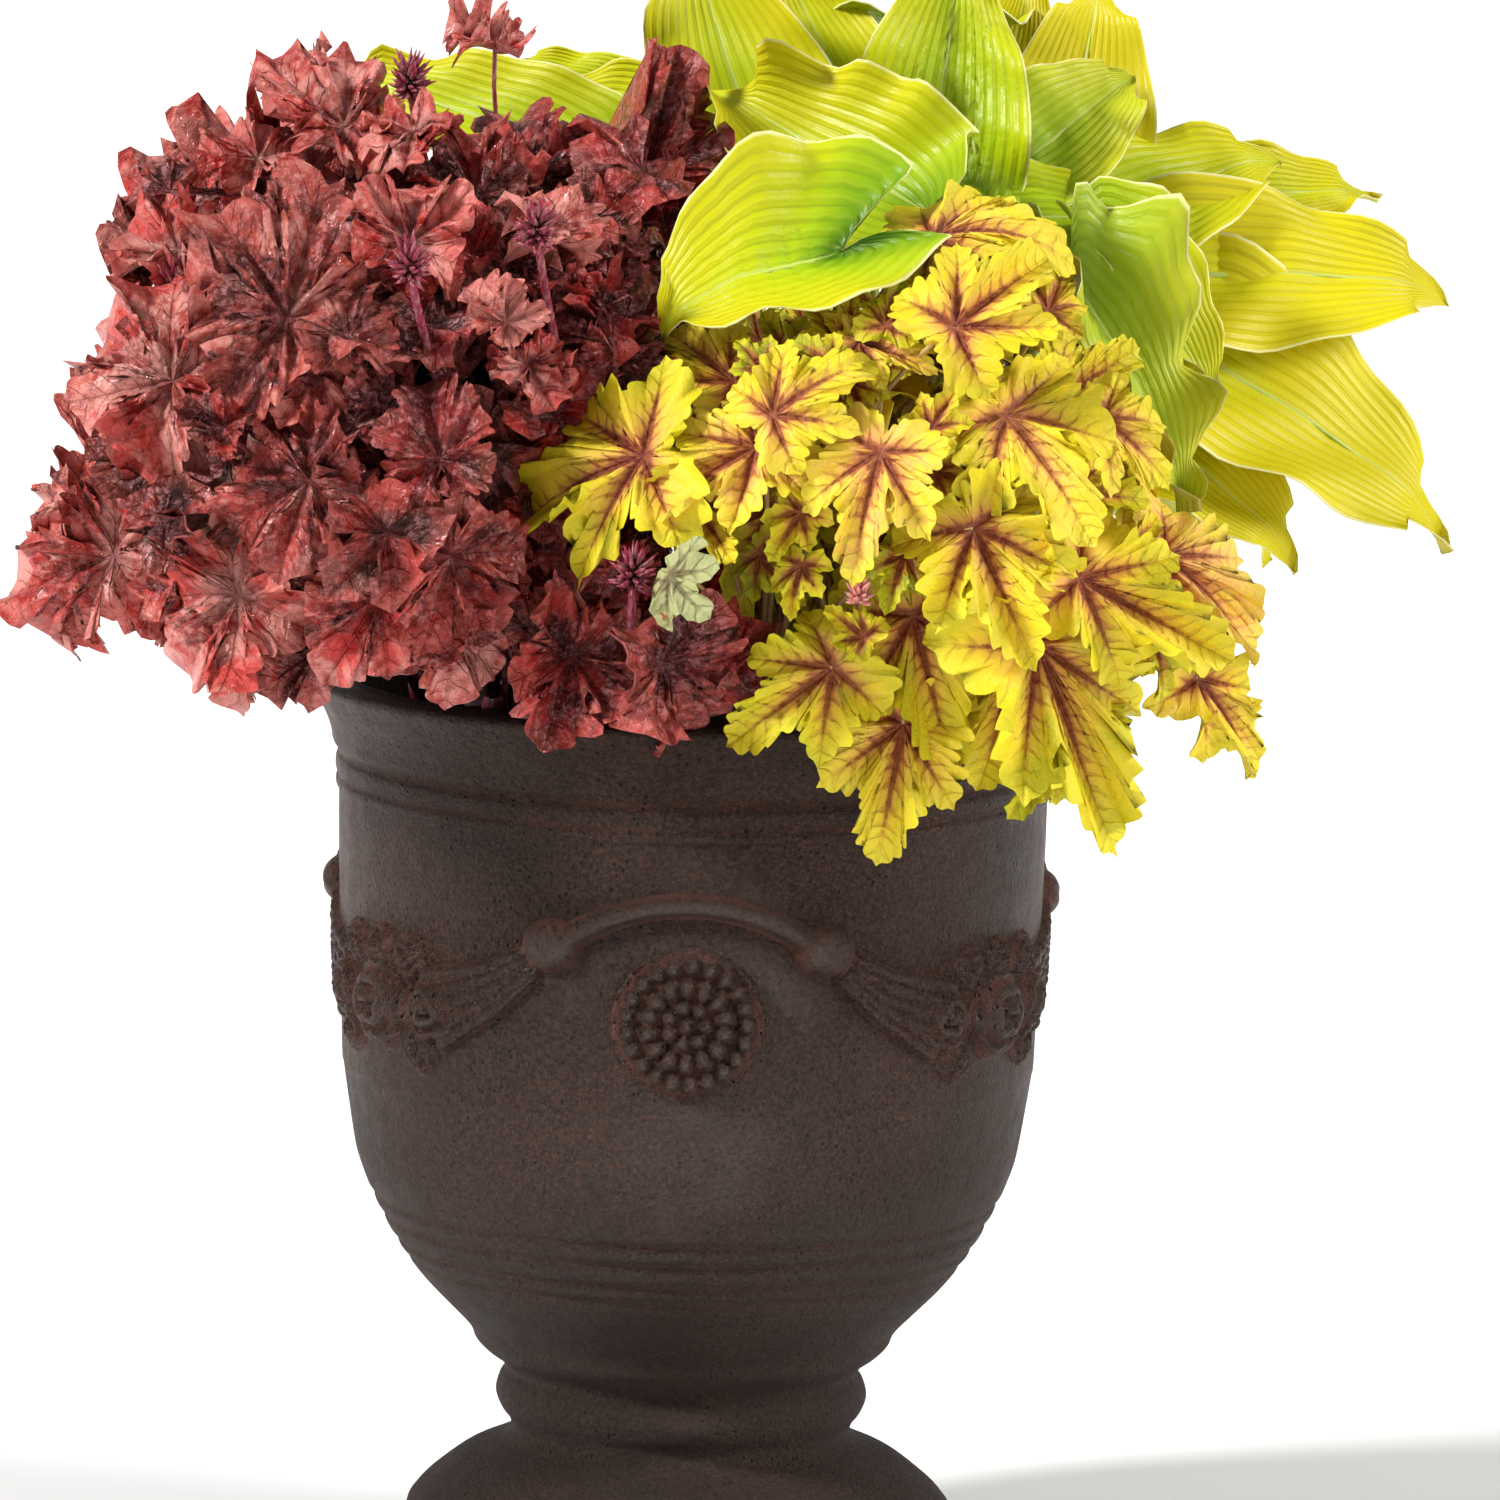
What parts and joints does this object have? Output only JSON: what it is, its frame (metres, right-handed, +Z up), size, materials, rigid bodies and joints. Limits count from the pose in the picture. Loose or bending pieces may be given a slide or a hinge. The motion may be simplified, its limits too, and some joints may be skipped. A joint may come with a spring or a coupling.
{
  "type": "planted urn with heuchera",
  "caption": "Footed garden urn with a garland and medallion belt, planted with dark red heuchera, yellow heucherella and chartreuse hosta.",
  "frame": {"origin": "centre of the underside of the urn's plinth", "axes": "+X to the right of the front medallion, +Y to the back, +Z up; the heucherella hangs over the front (-Y), the heuchera is on the left (-X) and the hosta at the back right"},
  "size_m": [0.871, 0.6525, 0.9773],
  "materials": {
    "urn_stone": "dark brown weathered stoneware, matte, pitted, with reddish dust in the hollows",
    "soil": "moist dark potting soil",
    "heuchera_leaf": "dark red to burgundy leaf, satin, ruffled",
    "heucherella_leaf": "yellow leaf with red-brown veins, satin",
    "hosta_leaf": "chartreuse ribbed leaf with a pale margin, satin",
    "flower": "hairy purple-red flower stem and buds"
  },
  "bodies": {
    "root": {"urn": "urn_stone", "soil": "soil", "hosta_leaf_1": "hosta_leaf", "hosta_leaf_2": "hosta_leaf", "hosta_leaf_3": "hosta_leaf", "hosta_leaf_4": "hosta_leaf", "hosta_leaf_5": "hosta_leaf", "hosta_leaf_6": "hosta_leaf", "hosta_leaf_7": "hosta_leaf", "hosta_leaf_8": "hosta_leaf", "hosta_leaf_9": "hosta_leaf", "hosta_leaf_10": "hosta_leaf", "hosta_leaf_11": "hosta_leaf", "hosta_leaf_12": "hosta_leaf", "hosta_leaf_13": "hosta_leaf", "hosta_leaf_14": "hosta_leaf", "hosta_leaf_15": "hosta_leaf", "hosta_leaf_16": "hosta_leaf", "hosta_leaf_17": "hosta_leaf", "hosta_leaf_18": "hosta_leaf", "hosta_leaf_19": "hosta_leaf", "hosta_leaf_20": "hosta_leaf", "hosta_leaf_21": "hosta_leaf", "hosta_leaf_22": "hosta_leaf", "hosta_leaf_23": "hosta_leaf", "hosta_leaf_24": "hosta_leaf", "hosta_leaf_25": "hosta_leaf", "hosta_leaf_26": "hosta_leaf", "hosta_leaf_27": "hosta_leaf", "heucherella_shoot_left": "heucherella_leaf", "heucherella_shoot_front": "heucherella_leaf", "heucherella_shoot_right": "heucherella_leaf", "heucherella_shoot_top": "heucherella_leaf", "heuchera_shoot_top_left": "heuchera_leaf", "heuchera_shoot_low_left": "heuchera_leaf", "heuchera_shoot_top": "heuchera_leaf", "heuchera_shoot_front": "heuchera_leaf", "heuchera_shoot_middle": "heuchera_leaf", "heuchera_shoot_left": "heuchera_leaf", "heuchera_shoot_back": "heuchera_leaf", "heuchera_flower_spike_1": "flower", "heuchera_flower_spike_2": "flower", "heuchera_flower_spike_3": "flower", "heuchera_flower_spike_4": "flower", "heuchera_flower_spike_5": "flower"}
  },
  "joints": []
}
